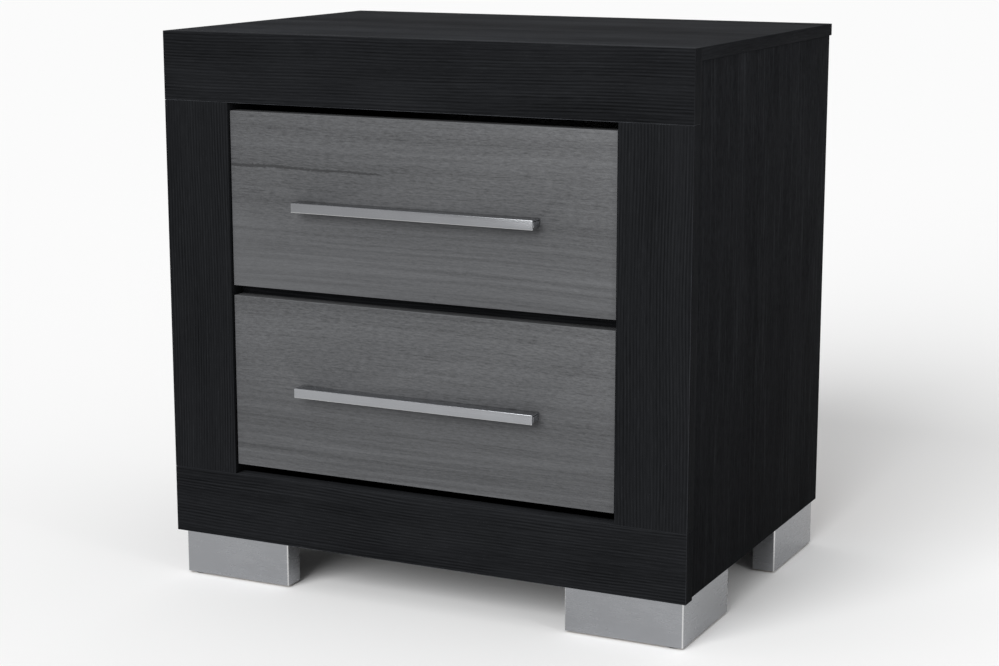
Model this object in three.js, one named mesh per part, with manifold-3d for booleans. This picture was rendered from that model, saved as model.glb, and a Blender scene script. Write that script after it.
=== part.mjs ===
// Bedside cabinet with two inset drawers on ball-bearing slides, bar handles and L-shaped metal-sleeved legs.
// Millimetres, +Z up, front towards -Y. The origin is the centre of the bounding box's bottom face.
import * as THREE from "three";
import { mergeVertices } from "three/addons/utils/BufferGeometryUtils.js";
import Module from "manifold-3d";

const wasm = await Module();
wasm.setup();

// ---- Driving dimensions -------------------------------------------------------------------------------
const GAP = 0.3; // clearance kept between pieces that touch

const WIDTH = 610; // over the face frame and the top
const HEIGHT = 609; // floor to top surface
const CASE_DEPTH = 430; // face of the frame to the back edge of the top
const FRAME_THICKNESS = 18;
const RAIL_HEIGHT = 74;
const STILE_WIDTH = 79;
const TOP_THICKNESS = 13;
const PANEL_THICKNESS = 15; // sides, bottom and inner panels
const SIDE_INSET = 1.5; // side panels stand back from the ends of the frame and the top
const SIDE_LIFT = 2; // side panels end this far above the frame's bottom edge
const REAR_OVERHANG = 3; // top beyond the side panels' rear edges
const BACK_THICKNESS = 3;
const BACK_INSET = 8; // back panel in from the side panels' rear edges
const GROOVE_DEPTH = 6;
const DIVIDER_THICKNESS = 16;
const DIVIDER_DEPTH = 60;
const STRETCHER_THICKNESS = 16;
const STRETCHER_HEIGHT = 60;

const GLIDE_THICKNESS = 2;
const GLIDE_RADIUS = 10;
const GLIDE_CHAMFER = 0.8;
const LEG_HEIGHT = 49.7;
const LEG_WING = 132; // length of each arm of the L
const LEG_THICKNESS = 26;
const LEG_SIDE_INSET = 6;
const LEG_FRONT_INSET = 9.5;
const LEG_REAR_INSET = 4.5;
const SLEEVE_THICKNESS = 1.2;

const DRAWERS = ["lower", "upper"];
const FRONT_HEIGHT = 189;
const FRONT_THICKNESS = 16;
const FRONT_RECESS = 3; // drawer fronts behind the face of the frame
const FRONT_SIDE_GAP = 1.75;
const FRONT_PITCH_GAP = 11; // below each drawer front

const BOX_SIDE_THICKNESS = 12;
const BOX_HEIGHT = 160;
const BOX_LENGTH = 355;
const BOX_RISE = 10; // box above the lower edge of its front
const BOX_BOTTOM_THICKNESS = 3.2;
const BOX_BOTTOM_RISE = 12;
const BOX_GROOVE_DEPTH = 6;

const SLIDE_LENGTH = 350;
const SLIDE_SPACE = 12.7; // between the inner panel and the drawer box
const SLIDE_SETBACK = 4; // behind the drawer front
const SLIDE_STEEL = 1.2;

const HANDLE_LENGTH = 281;
const HANDLE_HEIGHT = 10.5;
const HANDLE_PROJECTION = 17.5;
const HANDLE_DROP = 2.5; // below the middle of the drawer front
const HANDLE_LIP = 3;
const HANDLE_FLANGE = 2;
const POST_LENGTH = 12;
const POST_HEIGHT = 6.2;
const SCREW_RADIUS = 2;
const SCREW_HOLE_RADIUS = 2.3;
const SCREW_HEAD_RADIUS = 4.2;
const SCREW_HEAD_HEIGHT = 2.6;
const SCREW_GRIP = 9; // length of thread inside the post

const ROUND_SEGMENTS = 24;

// ---- Places worked out from the driving dimensions ----------------------------------------------------
const halfWidth = WIDTH / 2;
const handleProud = HANDLE_PROJECTION - FRONT_RECESS;
const face = -(CASE_DEPTH + handleProud) / 2 + handleProud; // y of the face frame's front
const back = face + CASE_DEPTH; // y of the top's rear edge
const frameBack = face + FRAME_THICKNESS;
const sideRear = back - REAR_OVERHANG;
const backPanelRear = sideRear - BACK_INSET;
const backPanelFront = backPanelRear - BACK_THICKNESS;
const legBottom = GLIDE_THICKNESS + GAP;
const legTop = legBottom + LEG_HEIGHT;
const caseBottom = legTop + GAP;
const topUnderside = HEIGHT - TOP_THICKNESS;
const sideOuter = halfWidth - SIDE_INSET;
const sideInner = sideOuter - PANEL_THICKNESS;
const floorTop = caseBottom + PANEL_THICKNESS; // upper face of the bottom panel
const openingHalf = halfWidth - STILE_WIDTH;
const openingBottom = caseBottom + RAIL_HEIGHT;
const openingTop = HEIGHT - RAIL_HEIGHT;
const drawerFace = face + FRONT_RECESS;
const drawerFrontBack = drawerFace + FRONT_THICKNESS;
const boxFrontY = drawerFrontBack + GAP;
const boxHalf = openingHalf - SLIDE_SPACE;
const boxInnerHalf = boxHalf - BOX_SIDE_THICKNESS;
const slideFront = drawerFrontBack + SLIDE_SETBACK;

// ---- Finishes -----------------------------------------------------------------------------------------
const FINISHES = {
  black_laminate: { color: 0x1f2224, roughness: 0.55, metalness: 0 },
  grey_laminate: { color: 0x666869, roughness: 0.5, metalness: 0 },
  drawer_foil: { color: 0x3a3c3e, roughness: 0.6, metalness: 0 },
  hardboard: { color: 0x4a3a2e, roughness: 0.8, metalness: 0 },
  leg_core: { color: 0x8a7358, roughness: 0.85, metalness: 0 },
  leg_metal: { color: 0x9a9b9c, roughness: 0.35, metalness: 1 },
  handle_metal: { color: 0xa5a6a7, roughness: 0.3, metalness: 1 },
  zinc_steel: { color: 0xb0b2b4, roughness: 0.4, metalness: 1 },
  glide_plastic: { color: 0x2b2b2b, roughness: 0.7, metalness: 0 },
};

// ---- Builders -----------------------------------------------------------------------------------------
const cabinet = new THREE.Group();

function addMesh(name, geometry, finish, parent = cabinet) {
  const mesh = new THREE.Mesh(geometry, new THREE.MeshStandardMaterial(FINISHES[finish]));
  mesh.name = name;
  parent.add(mesh);
  return mesh;
}

// A board between two corners [x, y, z].
function addBoard(name, low, high, finish, parent = cabinet) {
  const size = high.map((value, i) => value - low[i]);
  const mesh = addMesh(name, new THREE.BoxGeometry(...size), finish, parent);
  mesh.position.set(...high.map((value, i) => (value + low[i]) / 2));
  return mesh;
}

function outline(points) {
  return new THREE.Shape(points.map(([u, v]) => new THREE.Vector2(u, v)));
}

// A prism of an outline in the XY plane, from zLow to zHigh.
function prismAlongZ(shape, zLow, zHigh) {
  const geometry = new THREE.ExtrudeGeometry(shape, { depth: zHigh - zLow, bevelEnabled: false });
  return geometry.translate(0, 0, zLow);
}

// A prism of an outline whose points are (x, z), from yLow to yHigh.
function prismAlongY(shape, yLow, yHigh) {
  const geometry = new THREE.ExtrudeGeometry(shape, { depth: yHigh - yLow, bevelEnabled: false });
  return geometry.rotateX(Math.PI / 2).translate(0, yHigh, 0);
}

// A prism of an outline whose points are (y, z), from xLow to xHigh.
function prismAlongX(shape, xLow, xHigh) {
  const geometry = new THREE.ExtrudeGeometry(shape, { depth: xHigh - xLow, bevelEnabled: false });
  return geometry.rotateX(Math.PI / 2).rotateZ(Math.PI / 2).translate(xLow, 0, 0);
}

function toSolid(geometry) {
  const bare = geometry.clone();
  bare.deleteAttribute("normal");
  bare.deleteAttribute("uv");
  const merged = mergeVertices(bare);
  return new wasm.Manifold(new wasm.Mesh({
    numProp: 3,
    vertProperties: new Float32Array(merged.attributes.position.array),
    triVerts: new Uint32Array(merged.index.array),
  }));
}

function toGeometry(solid) {
  const { vertProperties, triVerts } = solid.getMesh();
  const geometry = new THREE.BufferGeometry();
  geometry.setAttribute("position", new THREE.BufferAttribute(vertProperties, 3));
  geometry.setIndex(new THREE.BufferAttribute(triVerts, 1));
  geometry.computeVertexNormals();
  return geometry;
}

// Cuts round holes along Y through a mesh that has no rotation of its own.
function drillAlongY(mesh, centres, radius, yLow, yHigh) {
  let solid = toSolid(mesh.geometry);
  for (const [x, z] of centres) {
    const drill = new THREE.CylinderGeometry(radius, radius, yHigh - yLow, ROUND_SEGMENTS);
    drill.translate(x - mesh.position.x, (yLow + yHigh) / 2 - mesh.position.y, z - mesh.position.z);
    solid = solid.subtract(toSolid(drill));
  }
  mesh.geometry = toGeometry(solid);
}

// ---- Case ---------------------------------------------------------------------------------------------
function addFaceFrame() {
  const rail = (name, zLow, zHigh) =>
    addBoard(name, [-halfWidth, face, zLow], [halfWidth, frameBack, zHigh], "black_laminate");
  rail("front_top_rail", openingTop, HEIGHT);
  rail("front_bottom_rail", caseBottom, openingBottom);
  for (const [side, name] of [[-1, "left"], [1, "right"]]) {
    const [xLow, xHigh] = [side * openingHalf, side * halfWidth].sort((a, b) => a - b);
    addBoard(`front_${name}_stile`, [xLow, face, openingBottom + GAP],
      [xHigh, frameBack, openingTop - GAP], "black_laminate");
  }
}

// Side panel seen from above: a rectangle with a groove for the back panel in its inner face.
function sidePanelOutline(side) {
  const grooveFront = backPanelFront - GAP;
  const grooveRear = backPanelRear + GAP;
  const grooveX = sideInner + GROOVE_DEPTH;
  return outline([
    [side * sideOuter, frameBack + GAP],
    [side * sideOuter, sideRear],
    [side * sideInner, sideRear],
    [side * sideInner, grooveRear],
    [side * grooveX, grooveRear],
    [side * grooveX, grooveFront],
    [side * sideInner, grooveFront],
    [side * sideInner, frameBack + GAP],
  ]);
}

function addPanels() {
  const front = frameBack + GAP;
  addBoard("top_panel", [-halfWidth, front, topUnderside], [halfWidth, back, HEIGHT], "black_laminate");
  addBoard("bottom_panel", [-sideInner + GAP, front, caseBottom],
    [sideInner - GAP, backPanelFront - GAP, floorTop], "black_laminate");
  const backHalf = sideInner + GROOVE_DEPTH - GAP;
  addBoard("back_panel", [-backHalf, backPanelFront, caseBottom + SIDE_LIFT],
    [backHalf, backPanelRear, topUnderside - GAP], "hardboard");
  for (const [side, name] of [[-1, "left"], [1, "right"]]) {
    addMesh(`${name}_side_panel`,
      prismAlongZ(sidePanelOutline(side), caseBottom + SIDE_LIFT, topUnderside - GAP), "black_laminate");
    const [xLow, xHigh] = [side * openingHalf, side * (openingHalf + PANEL_THICKNESS)].sort((a, b) => a - b);
    addBoard(`${name}_inner_panel`, [xLow, front, floorTop + GAP],
      [xHigh, backPanelFront - GAP, topUnderside - GAP], "black_laminate");
  }
}

function addCrossRails() {
  const half = openingHalf - GAP;
  const dividerFront = drawerFrontBack + SLIDE_SETBACK;
  const dividerMiddle = drawerBottom(1) - FRONT_PITCH_GAP / 2;
  addBoard("drawer_divider_rail",
    [-half, dividerFront, dividerMiddle - DIVIDER_THICKNESS / 2],
    [half, dividerFront + DIVIDER_DEPTH, dividerMiddle + DIVIDER_THICKNESS / 2], "black_laminate");
  const stretcherRear = backPanelFront - GAP;
  addBoard("rear_top_stretcher",
    [-half, stretcherRear - STRETCHER_THICKNESS, topUnderside - GAP - STRETCHER_HEIGHT],
    [half, stretcherRear, topUnderside - GAP], "black_laminate");
}

// ---- Legs ---------------------------------------------------------------------------------------------
// An L with its outer corner at (x, y), whose arms run inwards, shrunk on all sides by an inset.
function cornerOutline(x, y, xSign, ySign, inset, Kind = THREE.Shape) {
  const near = inset;
  const far = LEG_WING - inset;
  const inner = LEG_THICKNESS - inset;
  const points = [[near, near], [far, near], [far, inner], [inner, inner], [inner, far], [near, far]];
  if (xSign !== ySign) points.reverse(); // mirrored corners keep the same winding
  return new Kind(points.map(([u, v]) => new THREE.Vector2(x - xSign * u, y - ySign * v)));
}

function glideGeometry() {
  const profile = [
    [0, 0],
    [GLIDE_RADIUS - GLIDE_CHAMFER, 0],
    [GLIDE_RADIUS, GLIDE_CHAMFER],
    [GLIDE_RADIUS, GLIDE_THICKNESS],
    [0, GLIDE_THICKNESS],
  ];
  const points = profile.map(([r, h]) => new THREE.Vector2(r, h));
  return new THREE.LatheGeometry(points, ROUND_SEGMENTS).rotateX(Math.PI / 2);
}

function addLegs() {
  for (const [xSign, sideName] of [[-1, "left"], [1, "right"]]) {
    for (const [ySign, endName] of [[-1, "front"], [1, "rear"]]) {
      const name = `${endName}_${sideName}_leg`;
      const x = xSign * (halfWidth - LEG_SIDE_INSET);
      const y = ySign < 0 ? face + LEG_FRONT_INSET : back - LEG_REAR_INSET;
      const sleeve = cornerOutline(x, y, xSign, ySign, 0);
      sleeve.holes.push(cornerOutline(x, y, xSign, ySign, SLEEVE_THICKNESS, THREE.Path));
      addMesh(`${name}_sleeve`, prismAlongZ(sleeve, legBottom, legTop), "leg_metal");
      const core = cornerOutline(x, y, xSign, ySign, SLEEVE_THICKNESS + GAP);
      addMesh(`${name}_core`, prismAlongZ(core, legBottom, legTop), "leg_core");
      const glide = addMesh(`${name}_glide`, glideGeometry(), "glide_plastic");
      glide.position.set(x - xSign * LEG_THICKNESS / 2, y - ySign * LEG_THICKNESS / 2, 0);
    }
  }
}

// ---- Slides -------------------------------------------------------------------------------------------
// Each member is a channel. Depths count from the inner panel's face towards the drawer box.
const SLIDE_MEMBERS = {
  case: { height: 45, webDepth: GAP, tipDepth: 10.5 },
  middle: { height: 37.2, webDepth: SLIDE_STEEL + 2 * GAP, tipDepth: 9.6 },
  drawer: { height: 29.4, webDepth: SLIDE_SPACE - GAP, tipDepth: 4.2 },
};

function addSlideMember(name, member, side, zMiddle) {
  const { height, webDepth, tipDepth } = SLIDE_MEMBERS[member];
  const inward = Math.sign(tipDepth - webDepth); // the way the flanges point
  const x = (depth) => side * (openingHalf - depth);
  const low = zMiddle - height / 2;
  const high = zMiddle + height / 2;
  const webFace = x(webDepth + inward * SLIDE_STEEL);
  const channel = outline([
    [x(webDepth), low],
    [x(tipDepth), low],
    [x(tipDepth), low + SLIDE_STEEL],
    [webFace, low + SLIDE_STEEL],
    [webFace, high - SLIDE_STEEL],
    [x(tipDepth), high - SLIDE_STEEL],
    [x(tipDepth), high],
    [x(webDepth), high],
  ]);
  addMesh(name, prismAlongY(channel, slideFront, slideFront + SLIDE_LENGTH), "zinc_steel");
}

function addSlides(drawer, zMiddle) {
  for (const [side, sideName] of [[-1, "left"], [1, "right"]]) {
    for (const member of Object.keys(SLIDE_MEMBERS)) {
      addSlideMember(`${drawer}_${sideName}_slide_${member}_member`, member, side, zMiddle);
    }
  }
}

// ---- Drawers ------------------------------------------------------------------------------------------
// Lower edge of a drawer front, counting the drawers upwards from 0.
function drawerBottom(level) {
  return openingBottom + FRONT_PITCH_GAP + level * (FRONT_HEIGHT + FRONT_PITCH_GAP);
}

function screwPlaces(zHandle) {
  const x = HANDLE_LENGTH / 2 - POST_LENGTH / 2;
  return [[-x, zHandle], [x, zHandle]];
}

function addDrawerFront(drawer, zLow, zHandle) {
  const half = openingHalf - FRONT_SIDE_GAP;
  const front = addBoard(`${drawer}_drawer_front`, [-half, drawerFace, zLow],
    [half, drawerFrontBack, zLow + FRONT_HEIGHT], "grey_laminate");
  drillAlongY(front, screwPlaces(zHandle), SCREW_HOLE_RADIUS, drawerFace - 1, drawerFrontBack + 1);
}

// Side board of a drawer box seen from the front, with the groove for the bottom.
function boxSideOutline(side, zLow, zHigh) {
  const grooveLow = zLow + BOX_BOTTOM_RISE;
  const grooveHigh = grooveLow + BOX_BOTTOM_THICKNESS + 2 * GAP;
  const grooveX = boxInnerHalf + BOX_GROOVE_DEPTH;
  return outline([
    [side * boxHalf, zLow],
    [side * boxHalf, zHigh],
    [side * boxInnerHalf, zHigh],
    [side * boxInnerHalf, grooveHigh],
    [side * grooveX, grooveHigh],
    [side * grooveX, grooveLow],
    [side * boxInnerHalf, grooveLow],
    [side * boxInnerHalf, zLow],
  ]);
}

function addDrawerBox(drawer, zFrontLow, zHandle) {
  const zLow = zFrontLow + BOX_RISE;
  const zHigh = zLow + BOX_HEIGHT;
  const rear = boxFrontY + BOX_LENGTH;
  const half = boxInnerHalf - GAP;
  const innerFront = boxFrontY + BOX_SIDE_THICKNESS;
  const bottomLow = zLow + BOX_BOTTOM_RISE + GAP;
  const bottomHigh = bottomLow + BOX_BOTTOM_THICKNESS;
  for (const [side, sideName] of [[-1, "left"], [1, "right"]]) {
    addMesh(`${drawer}_drawer_${sideName}_side`,
      prismAlongY(boxSideOutline(side, zLow, zHigh), boxFrontY, rear), "drawer_foil");
  }
  const boxFront = addBoard(`${drawer}_drawer_box_front`, [-half, boxFrontY, bottomHigh + GAP],
    [half, innerFront, zHigh], "drawer_foil");
  drillAlongY(boxFront, screwPlaces(zHandle), SCREW_HOLE_RADIUS, boxFrontY - 1, innerFront + 1);
  addBoard(`${drawer}_drawer_back`, [-half, rear - BOX_SIDE_THICKNESS, bottomHigh + GAP],
    [half, rear, zHigh], "drawer_foil");
  const bottomHalf = boxInnerHalf + BOX_GROOVE_DEPTH - GAP;
  addBoard(`${drawer}_drawer_bottom`, [-bottomHalf, boxFrontY + GAP, bottomLow],
    [bottomHalf, rear - GAP, bottomHigh], "hardboard");
}

// Handle: an angle profile whose top flange reaches the drawer front, on a post at each end.
function addHandle(drawer, zHandle) {
  const lipFront = drawerFace - HANDLE_PROJECTION;
  const flangeRear = drawerFace - GAP;
  const top = zHandle + HANDLE_HEIGHT / 2;
  const profile = outline([
    [lipFront, top - HANDLE_HEIGHT],
    [lipFront + HANDLE_LIP, top - HANDLE_HEIGHT],
    [lipFront + HANDLE_LIP, top - HANDLE_FLANGE],
    [flangeRear, top - HANDLE_FLANGE],
    [flangeRear, top],
    [lipFront, top],
  ]);
  const half = HANDLE_LENGTH / 2;
  addMesh(`${drawer}_handle_bar`, prismAlongX(profile, -half, half), "handle_metal");
  const postTop = top - HANDLE_FLANGE - GAP;
  for (const [side, sideName] of [[-1, "left"], [1, "right"]]) {
    const [xLow, xHigh] = [side * half, side * (half - POST_LENGTH)].sort((a, b) => a - b);
    const post = addBoard(`${drawer}_handle_${sideName}_post`,
      [xLow, lipFront + HANDLE_LIP + GAP, postTop - POST_HEIGHT], [xHigh, flangeRear, postTop],
      "handle_metal");
    const place = screwPlaces(zHandle)[side < 0 ? 0 : 1];
    drillAlongY(post, [place], SCREW_HOLE_RADIUS, flangeRear - SCREW_GRIP - 2 * GAP, flangeRear + 1);
    addHandleScrew(`${drawer}_handle_${sideName}_screw`, place);
  }
}

// Pan-head machine screw from inside the drawer box into the post.
function addHandleScrew(name, [x, z]) {
  const headFace = boxFrontY + BOX_SIDE_THICKNESS + GAP;
  const tip = drawerFace - GAP - SCREW_GRIP;
  const crown = headFace + SCREW_HEAD_HEIGHT;
  const profile = [
    [0, tip],
    [SCREW_RADIUS - GLIDE_CHAMFER, tip],
    [SCREW_RADIUS, tip + GLIDE_CHAMFER],
    [SCREW_RADIUS, headFace],
    [SCREW_HEAD_RADIUS, headFace],
    [SCREW_HEAD_RADIUS, crown - SCREW_HEAD_HEIGHT / 2],
    [SCREW_HEAD_RADIUS * 0.7, crown],
    [0, crown],
  ];
  const points = profile.map(([r, y]) => new THREE.Vector2(r, y));
  addMesh(name, new THREE.LatheGeometry(points, ROUND_SEGMENTS).translate(x, 0, z), "zinc_steel");
}

// ---- Assembly -----------------------------------------------------------------------------------------
addFaceFrame();
addPanels();
addCrossRails();
addLegs();
DRAWERS.forEach((drawer, level) => {
  const zLow = drawerBottom(level);
  const zHandle = zLow + FRONT_HEIGHT / 2 - HANDLE_DROP;
  addDrawerFront(drawer, zLow, zHandle);
  addDrawerBox(drawer, zLow, zHandle);
  addSlides(drawer, zLow + BOX_RISE + BOX_HEIGHT / 2);
  addHandle(drawer, zHandle);
});

export default cabinet;
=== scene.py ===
import math
from functools import cache

import bmesh
import bpy
from mathutils import Matrix, Vector


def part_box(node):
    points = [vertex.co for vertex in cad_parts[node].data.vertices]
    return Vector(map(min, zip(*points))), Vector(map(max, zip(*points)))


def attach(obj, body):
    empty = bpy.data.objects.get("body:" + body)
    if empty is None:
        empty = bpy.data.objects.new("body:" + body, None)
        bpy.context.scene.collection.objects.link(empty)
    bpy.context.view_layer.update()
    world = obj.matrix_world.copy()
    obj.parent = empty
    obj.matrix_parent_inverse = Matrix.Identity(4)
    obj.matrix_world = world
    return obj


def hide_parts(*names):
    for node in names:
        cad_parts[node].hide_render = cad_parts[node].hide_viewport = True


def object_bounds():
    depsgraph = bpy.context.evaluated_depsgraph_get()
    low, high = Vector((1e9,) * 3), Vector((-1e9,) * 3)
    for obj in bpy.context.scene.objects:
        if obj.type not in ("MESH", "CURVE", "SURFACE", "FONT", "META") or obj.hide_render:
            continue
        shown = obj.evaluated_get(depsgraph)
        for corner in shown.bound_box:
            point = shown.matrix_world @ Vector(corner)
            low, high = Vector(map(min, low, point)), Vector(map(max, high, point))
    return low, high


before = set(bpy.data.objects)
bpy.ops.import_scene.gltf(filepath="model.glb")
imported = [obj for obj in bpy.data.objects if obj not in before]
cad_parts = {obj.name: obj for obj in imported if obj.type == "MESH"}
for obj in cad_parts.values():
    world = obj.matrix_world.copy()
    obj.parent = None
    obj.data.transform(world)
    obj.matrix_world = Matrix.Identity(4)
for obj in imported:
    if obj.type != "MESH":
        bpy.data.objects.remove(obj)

CAD_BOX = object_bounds()
MM = 0.001
AXES = "XYZ"

# ---- Camera -------------------------------------------------------------------------------------------
CAMERA_TARGET = Vector((0.0, -0.008, 0.268))
CAMERA_DISTANCE = 2.457
CAMERA_AZIMUTH = 25.9  # degrees, from the front towards the right
CAMERA_ELEVATION = 11.56  # degrees
CAMERA_LENS = 78.66  # millimetres
SENSOR_WIDTH = 36  # millimetres


def from_angles(azimuth, elevation):
    """The direction, for angles in degrees, from the object towards a viewer; azimuth 0 is on -Y."""
    azimuth = math.radians(azimuth)
    elevation = math.radians(elevation)
    level = math.cos(elevation)
    return Vector((math.sin(azimuth) * level, -math.cos(azimuth) * level, math.sin(elevation)))


def add_facing(thing, towards):
    """Links a camera or a light into the scene, looking back along a direction."""
    thing.rotation_euler = towards.to_track_quat("Z", "Y").to_euler()
    bpy.context.scene.collection.objects.link(thing)


def add_camera():
    data = bpy.data.cameras.new("camera")
    data.lens = CAMERA_LENS
    data.sensor_width = SENSOR_WIDTH
    camera = bpy.data.objects.new("camera", data)
    towards = from_angles(CAMERA_AZIMUTH, CAMERA_ELEVATION)
    camera.location = CAMERA_TARGET + towards * CAMERA_DISTANCE
    add_facing(camera, towards)
    bpy.context.scene.camera = camera


# ---- Procedural materials -----------------------------------------------------------------------------
class Shader:
    """A Principled material with a few shorthands for wiring its procedural nodes."""

    def __init__(self, name, **sockets):
        self.material = bpy.data.materials.new(name)
        self.material.use_nodes = True
        self.nodes = self.material.node_tree.nodes
        self.links = self.material.node_tree.links
        self.bsdf = self.nodes["Principled BSDF"]
        for socket, value in sockets.items():
            self.bsdf.inputs[socket.replace("_", " ")].default_value = value
        coordinates = self.nodes.new("ShaderNodeTexCoord")
        self.normal = self.split(coordinates.outputs["Normal"])
        self.use_place(coordinates.outputs["Object"])

    def use_place(self, vector):
        """Makes a vector the place that noise and axis values are read from."""
        self.place = vector
        self.axis = self.split(vector)

    def connect(self, value, socket):
        if isinstance(value, (int, float, tuple)):
            socket.default_value = value
        else:
            self.links.new(value, socket)

    def split(self, vector):
        node = self.nodes.new("ShaderNodeSeparateXYZ")
        self.links.new(vector, node.inputs[0])
        return {name: node.outputs[name] for name in AXES}

    def join(self, *values):
        node = self.nodes.new("ShaderNodeCombineXYZ")
        for value, socket in zip(values, node.inputs):
            self.connect(value, socket)
        return node.outputs[0]

    def math(self, operation, *values, clamp=False):
        node = self.nodes.new("ShaderNodeMath")
        node.operation = operation
        node.use_clamp = clamp
        for value, socket in zip(values, node.inputs):
            self.connect(value, socket)
        return node.outputs[0]

    def vector_math(self, operation, *values):
        node = self.nodes.new("ShaderNodeVectorMath")
        node.operation = operation
        sockets = [socket for socket in node.inputs if socket.enabled]
        for value, socket in zip(values, sockets):
            self.connect(value, socket)
        return node.outputs[0]

    def noise(self, factors, detail=2.0, roughness=0.5):
        """Noise around 0.5, with about one cell per metre along an axis for each unit of its factor."""
        node = self.nodes.new("ShaderNodeTexNoise")
        node.inputs["Scale"].default_value = 1.0
        node.inputs["Detail"].default_value = detail
        node.inputs["Roughness"].default_value = roughness
        self.links.new(self.vector_math("MULTIPLY", self.place, factors), node.inputs["Vector"])
        return node.outputs["Fac"]

    def swing(self, factors, detail=2.0, roughness=0.5):
        """The same noise around 0."""
        return self.math("SUBTRACT", self.noise(factors, detail, roughness), 0.5)

    def add_up(self, start, *terms):
        """Adds (value, weight) pairs to a start and clamps the sum to 0 to 1."""
        total = start
        for value, weight in terms[:-1]:
            total = self.math("MULTIPLY_ADD", value, weight, total)
        return self.math("MULTIPLY_ADD", *terms[-1], total, clamp=True)

    def remap(self, value, low, high, to_low=0.0, to_high=1.0):
        """Maps the range from low to high onto another range, and clamps outside it."""
        node = self.nodes.new("ShaderNodeMapRange")
        self.connect(value, node.inputs["Value"])
        limits = {"From Min": low, "From Max": high, "To Min": to_low, "To Max": to_high}
        for socket, limit in limits.items():
            self.connect(limit, node.inputs[socket])
        return node.outputs["Result"]

    def mix(self, factor, first, second, kind="RGBA"):
        node = self.nodes.new("ShaderNodeMix")
        node.data_type = kind
        sockets = [socket for socket in node.inputs if socket.enabled]
        for value, socket in zip((factor, first, second), sockets):
            self.connect(value, socket)
        return next(output for output in node.outputs if output.enabled)

    def facing(self, name):
        """1 where the surface faces along an axis, either way, else 0."""
        return self.math("GREATER_THAN", self.math("ABSOLUTE", self.normal[name]), 0.75)

    def follow_board(self, grain, across):
        """Turns the place into (along the grain, across it, depth) on each face and edge of a board."""
        through = next(name for name in AXES if name not in (grain, across))
        x, y, z = (self.axis[name] for name in (grain, across, through))
        edge = self.mix(self.facing(across), self.join(x, y, z), self.join(x, z, y), "VECTOR")
        self.use_place(self.mix(self.facing(grain), edge, self.join(y, z, x), "VECTOR"))

    def bend_grain(self, amount, factors):
        """Lets the grain wander sideways by up to about a quarter of the amount either way."""
        shift = self.math("MULTIPLY", self.noise(factors, 1.0), amount)
        self.use_place(self.vector_math("ADD", self.place, self.join(0.0, shift, 0.0)))

    def arris(self):
        """1 on the rounded edges of a board and 0 on its flat faces."""
        sides = [self.math("ABSOLUTE", self.normal[name]) for name in AXES]
        flat = self.math("MAXIMUM", self.math("MAXIMUM", sides[0], sides[1]), sides[2])
        return self.remap(flat, 0.99, 0.85)

    def finish(self, colour=None, roughness=None, height=None, depth=0.0001):
        if colour is not None:
            self.connect(colour, self.bsdf.inputs["Base Color"])
        if roughness is not None:
            self.connect(roughness, self.bsdf.inputs["Roughness"])
        if height is not None:
            bump = self.nodes.new("ShaderNodeBump")
            bump.inputs["Distance"].default_value = depth
            self.connect(height, bump.inputs["Height"])
            self.links.new(bump.outputs["Normal"], self.bsdf.inputs["Normal"])
        return self.material


def gray(value, tint=(1.0, 1.0, 1.0)):
    return (value * tint[0], value * tint[1], value * tint[2], 1.0)


BLUE_BLACK = (0.95, 1.0, 1.11)
COOL_GREY = (0.98, 1.0, 1.045)
BLACK_LINE_PITCH = 0.0034
BLACK_LEVELS = (0.0008, 0.0197)  # of the black laminate's dark and pale parts
EDGE_LEVEL = 0.02  # of its rounded edges, paler from wear and from painted highlight
LOWER_EDGE_HIGHLIGHT = 0.14  # painted highlight on the rails' lower edges
CORNER_HIGHLIGHT = (0.055, 0.02)  # painted highlight on the frame's outer front edges, at mid height and near the top
TOP_PAINTED_LIGHT = (3.05, 2.2)  # painted light on the upward faces, at the front and at the back
SIDE_PAINTED_SHADE = (0.8, 1.33)  # painted shade of the faces along X, near the floor and near the top
DRAWER_LEVELS = (0.0294, 0.101)  # of the grey laminate's dark and pale parts
DRAWER_PAINTED_SHADE = (0.91, 1.0)  # painted shade of the drawer fronts, near the floor and from mid height up
CALM = 0.45  # how strong the grey laminate's long lines are in the upper part of a front
HANDLE_REACH = 0.14  # from the middle of a handle to its ends
HANDLE_PAINTED_REFLECTION = {"upper": (0.8, 0.96), "lower": (1.16, 1.12)}  # painted reflection in the handle bars' tone, at the left and at the right end


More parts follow.
